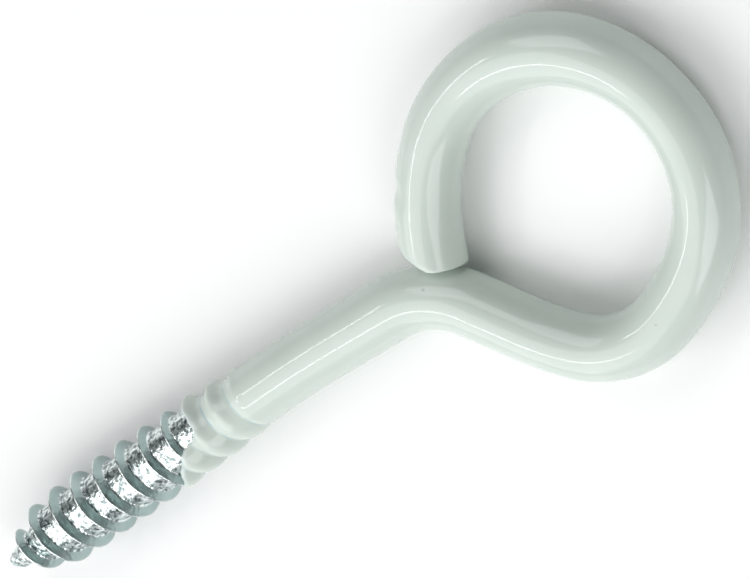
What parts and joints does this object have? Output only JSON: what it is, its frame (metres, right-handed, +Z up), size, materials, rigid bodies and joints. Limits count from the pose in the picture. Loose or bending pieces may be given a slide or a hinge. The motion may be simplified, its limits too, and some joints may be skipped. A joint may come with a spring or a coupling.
{
  "type": "screw eye",
  "caption": "Screw eye: a steel wire with a wood thread and gimlet point, bent to a closed round eye and dipped in white plastic.",
  "frame": {"origin": "middle of the outline in X and Y, at the level of the surface that it lies on", "axes": "+X along the screw from the tip to the eye, +Z up through the eye's hole"},
  "size_m": [0.0897, 0.034, 0.0075],
  "materials": {
    "coated_steel": "glossy white plastic dip coat on zinc-plated steel, with the thread left bare"
  },
  "bodies": {
    "root": {"screw_eye": "coated_steel"}
  },
  "joints": []
}
